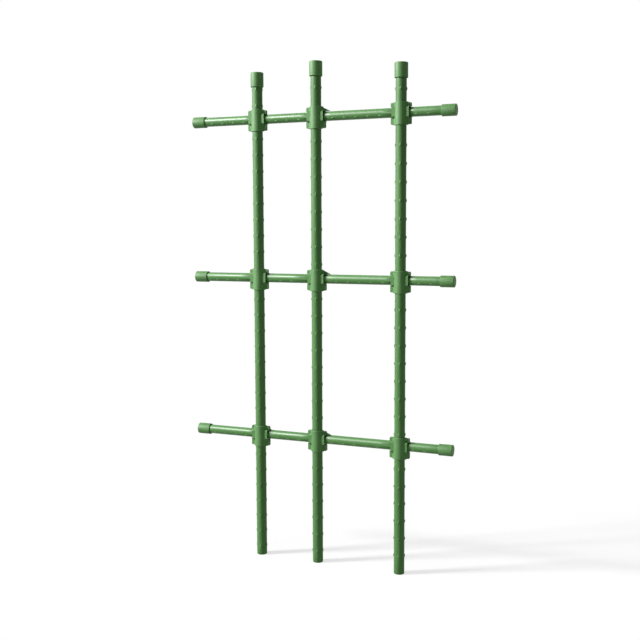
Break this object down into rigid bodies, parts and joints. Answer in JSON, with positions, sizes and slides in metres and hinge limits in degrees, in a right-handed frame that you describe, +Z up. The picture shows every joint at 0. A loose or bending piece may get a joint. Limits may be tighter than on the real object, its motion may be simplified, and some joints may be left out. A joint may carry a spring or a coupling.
{
  "type": "climbing plant support",
  "caption": "Flat ladder trellis of coated steel stakes and rails, clipped together at each crossing, that stands in soil for climbing plants.",
  "frame": {"origin": "on the ground line, in the plane of the stakes' axes, at the middle of the rails' length", "axes": "+X along the rails, to the right seen from the front; -Y is the front, where the tall sleeves are; +Z up the stakes"},
  "size_m": [0.292, 0.0193, 0.528],
  "materials": {
    "stake_coat": "satin",
    "stake_steel": "satin",
    "rail_coat": "satin",
    "cap_plastic": "satin",
    "connector_plastic": "satin"
  },
  "bodies": {
    "frame": {"stake_left_coat": "stake_coat", "stake_left_tube": "stake_steel", "stake_middle_coat": "stake_coat", "stake_middle_tube": "stake_steel", "stake_right_coat": "stake_coat", "stake_right_tube": "stake_steel", "front_shell_lower_left": "connector_plastic", "front_shell_lower_middle": "connector_plastic", "front_shell_lower_right": "connector_plastic", "front_shell_centre_left": "connector_plastic", "front_shell_centre_middle": "connector_plastic", "front_shell_centre_right": "connector_plastic", "front_shell_upper_left": "connector_plastic", "front_shell_upper_middle": "connector_plastic", "front_shell_upper_right": "connector_plastic"},
    "rail_lower": {"rail_lower": "rail_coat"},
    "rail_lower_cap_left": {"rail_lower_cap_left": "cap_plastic"},
    "rail_lower_cap_right": {"rail_lower_cap_right": "cap_plastic"},
    "rear_shell_lower_left": {"rear_shell_lower_left": "connector_plastic"},
    "rear_shell_lower_middle": {"rear_shell_lower_middle": "connector_plastic"},
    "rear_shell_lower_right": {"rear_shell_lower_right": "connector_plastic"},
    "rail_centre": {"rail_centre": "rail_coat"},
    "rail_centre_cap_left": {"rail_centre_cap_left": "cap_plastic"},
    "rail_centre_cap_right": {"rail_centre_cap_right": "cap_plastic"},
    "rear_shell_centre_left": {"rear_shell_centre_left": "connector_plastic"},
    "rear_shell_centre_middle": {"rear_shell_centre_middle": "connector_plastic"},
    "rear_shell_centre_right": {"rear_shell_centre_right": "connector_plastic"},
    "rail_upper": {"rail_upper": "rail_coat"},
    "rail_upper_cap_left": {"rail_upper_cap_left": "cap_plastic"},
    "rail_upper_cap_right": {"rail_upper_cap_right": "cap_plastic"},
    "rear_shell_upper_left": {"rear_shell_upper_left": "connector_plastic"},
    "rear_shell_upper_middle": {"rear_shell_upper_middle": "connector_plastic"},
    "rear_shell_upper_right": {"rear_shell_upper_right": "connector_plastic"},
    "stake_left_cap": {"stake_left_cap": "cap_plastic"},
    "stake_middle_cap": {"stake_middle_cap": "cap_plastic"},
    "stake_right_cap": {"stake_right_cap": "cap_plastic"}
  },
  "joints": [
    {"name": "rail_lower_lift_off", "type": "slide", "parent": "frame", "child": "rail_lower", "axis": [0, 1, 0], "range_m": [0, 0.03]},
    {"name": "rail_lower_cap_left_pull", "type": "slide", "parent": "rail_lower", "child": "rail_lower_cap_left", "axis": [-1, 0, 0], "range_m": [0, 0.018]},
    {"name": "rail_lower_cap_right_pull", "type": "slide", "parent": "rail_lower", "child": "rail_lower_cap_right", "axis": [1, 0, 0], "range_m": [0, 0.018]},
    {"name": "rear_shell_lower_left_unclip", "type": "slide", "parent": "rail_lower", "child": "rear_shell_lower_left", "axis": [0, 1, 0], "range_m": [0, 0.02]},
    {"name": "rear_shell_lower_middle_unclip", "type": "slide", "parent": "rail_lower", "child": "rear_shell_lower_middle", "axis": [0, 1, 0], "range_m": [0, 0.02]},
    {"name": "rear_shell_lower_right_unclip", "type": "slide", "parent": "rail_lower", "child": "rear_shell_lower_right", "axis": [0, 1, 0], "range_m": [0, 0.02]},
    {"name": "rail_centre_lift_off", "type": "slide", "parent": "frame", "child": "rail_centre", "axis": [0, 1, 0], "range_m": [0, 0.03]},
    {"name": "rail_centre_cap_left_pull", "type": "slide", "parent": "rail_centre", "child": "rail_centre_cap_left", "axis": [-1, 0, 0], "range_m": [0, 0.018]},
    {"name": "rail_centre_cap_right_pull", "type": "slide", "parent": "rail_centre", "child": "rail_centre_cap_right", "axis": [1, 0, 0], "range_m": [0, 0.018]},
    {"name": "rear_shell_centre_left_unclip", "type": "slide", "parent": "rail_centre", "child": "rear_shell_centre_left", "axis": [0, 1, 0], "range_m": [0, 0.02]},
    {"name": "rear_shell_centre_middle_unclip", "type": "slide", "parent": "rail_centre", "child": "rear_shell_centre_middle", "axis": [0, 1, 0], "range_m": [0, 0.02]},
    {"name": "rear_shell_centre_right_unclip", "type": "slide", "parent": "rail_centre", "child": "rear_shell_centre_right", "axis": [0, 1, 0], "range_m": [0, 0.02]},
    {"name": "rail_upper_lift_off", "type": "slide", "parent": "frame", "child": "rail_upper", "axis": [0, 1, 0], "range_m": [0, 0.03]},
    {"name": "rail_upper_cap_left_pull", "type": "slide", "parent": "rail_upper", "child": "rail_upper_cap_left", "axis": [-1, 0, 0], "range_m": [0, 0.018]},
    {"name": "rail_upper_cap_right_pull", "type": "slide", "parent": "rail_upper", "child": "rail_upper_cap_right", "axis": [1, 0, 0], "range_m": [0, 0.018]},
    {"name": "rear_shell_upper_left_unclip", "type": "slide", "parent": "rail_upper", "child": "rear_shell_upper_left", "axis": [0, 1, 0], "range_m": [0, 0.02]},
    {"name": "rear_shell_upper_middle_unclip", "type": "slide", "parent": "rail_upper", "child": "rear_shell_upper_middle", "axis": [0, 1, 0], "range_m": [0, 0.02]},
    {"name": "rear_shell_upper_right_unclip", "type": "slide", "parent": "rail_upper", "child": "rear_shell_upper_right", "axis": [0, 1, 0], "range_m": [0, 0.02]},
    {"name": "stake_left_cap_pull", "type": "slide", "parent": "frame", "child": "stake_left_cap", "axis": [0, 0, 1], "range_m": [0, 0.018]},
    {"name": "stake_middle_cap_pull", "type": "slide", "parent": "frame", "child": "stake_middle_cap", "axis": [0, 0, 1], "range_m": [0, 0.018]},
    {"name": "stake_right_cap_pull", "type": "slide", "parent": "frame", "child": "stake_right_cap", "axis": [0, 0, 1], "range_m": [0, 0.018]}
  ]
}
